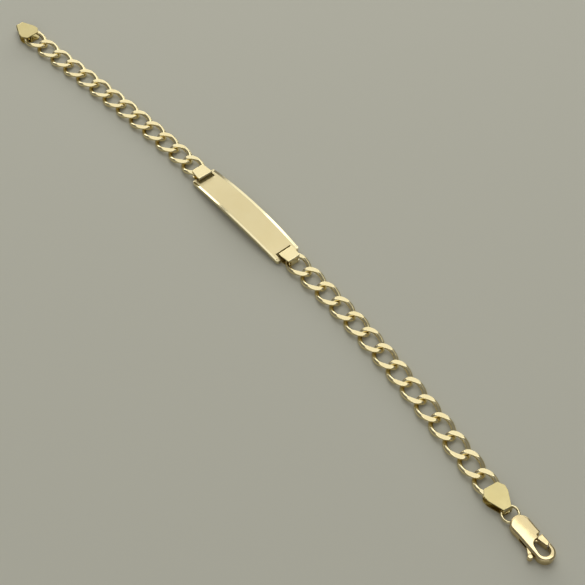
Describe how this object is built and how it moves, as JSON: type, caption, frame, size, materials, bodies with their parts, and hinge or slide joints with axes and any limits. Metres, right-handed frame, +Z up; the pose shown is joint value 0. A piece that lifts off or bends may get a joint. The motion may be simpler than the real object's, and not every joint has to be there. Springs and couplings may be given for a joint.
{
  "type": "id bracelet",
  "caption": "Open curb-link id bracelet lying undone: curved blank name plate on folded straps, filed links, folded end caps, jump ring and lobster clasp.",
  "frame": {"origin": "centre of the bounding box on the surface that the bracelet lies on", "axes": "+X along the name plate towards the clasp, +Z up, +Y to the outside of the bracelet's slight bow"},
  "size_m": [0.1793, 0.0147, 0.0023],
  "materials": {
    "plate_gold": "9 carat yellow gold, satin polished face with bright bevelled edges",
    "link_gold": "9 carat yellow gold, drawn wire, filed flats polished bright",
    "sheet_gold": "9 carat yellow gold sheet, folded and polished",
    "clasp_gold": "9 carat yellow gold, cast and tumble polished"
  },
  "bodies": {
    "bracelet": {"id_plate": "plate_gold", "left_strap": "sheet_gold", "right_strap": "sheet_gold", "left_link_1": "link_gold", "left_link_2": "link_gold", "left_link_3": "link_gold", "left_link_4": "link_gold", "left_link_5": "link_gold", "left_link_6": "link_gold", "left_link_7": "link_gold", "left_link_8": "link_gold", "left_link_9": "link_gold", "left_link_10": "link_gold", "left_link_11": "link_gold", "left_link_12": "link_gold", "left_link_13": "link_gold", "right_link_1": "link_gold", "right_link_2": "link_gold", "right_link_3": "link_gold", "right_link_4": "link_gold", "right_link_5": "link_gold", "right_link_6": "link_gold", "right_link_7": "link_gold", "right_link_8": "link_gold", "right_link_9": "link_gold", "right_link_10": "link_gold", "right_link_11": "link_gold", "right_link_12": "link_gold", "right_link_13": "link_gold", "right_link_14": "link_gold", "left_cap": "sheet_gold", "right_cap": "sheet_gold", "jump_ring": "link_gold", "clasp_body": "clasp_gold"},
    "lever": {"clasp_lever": "clasp_gold"}
  },
  "joints": [
    {"name": "clasp_lever_hinge", "type": "hinge", "parent": "bracelet", "child": "lever", "pos_m": [0.08417, -0.00391, 0.00095], "axis": [0, 0, -1], "range_deg": [0, 25], "stiffness_Nm_per_rad": 0.002, "springref_deg": -20.05}
  ]
}
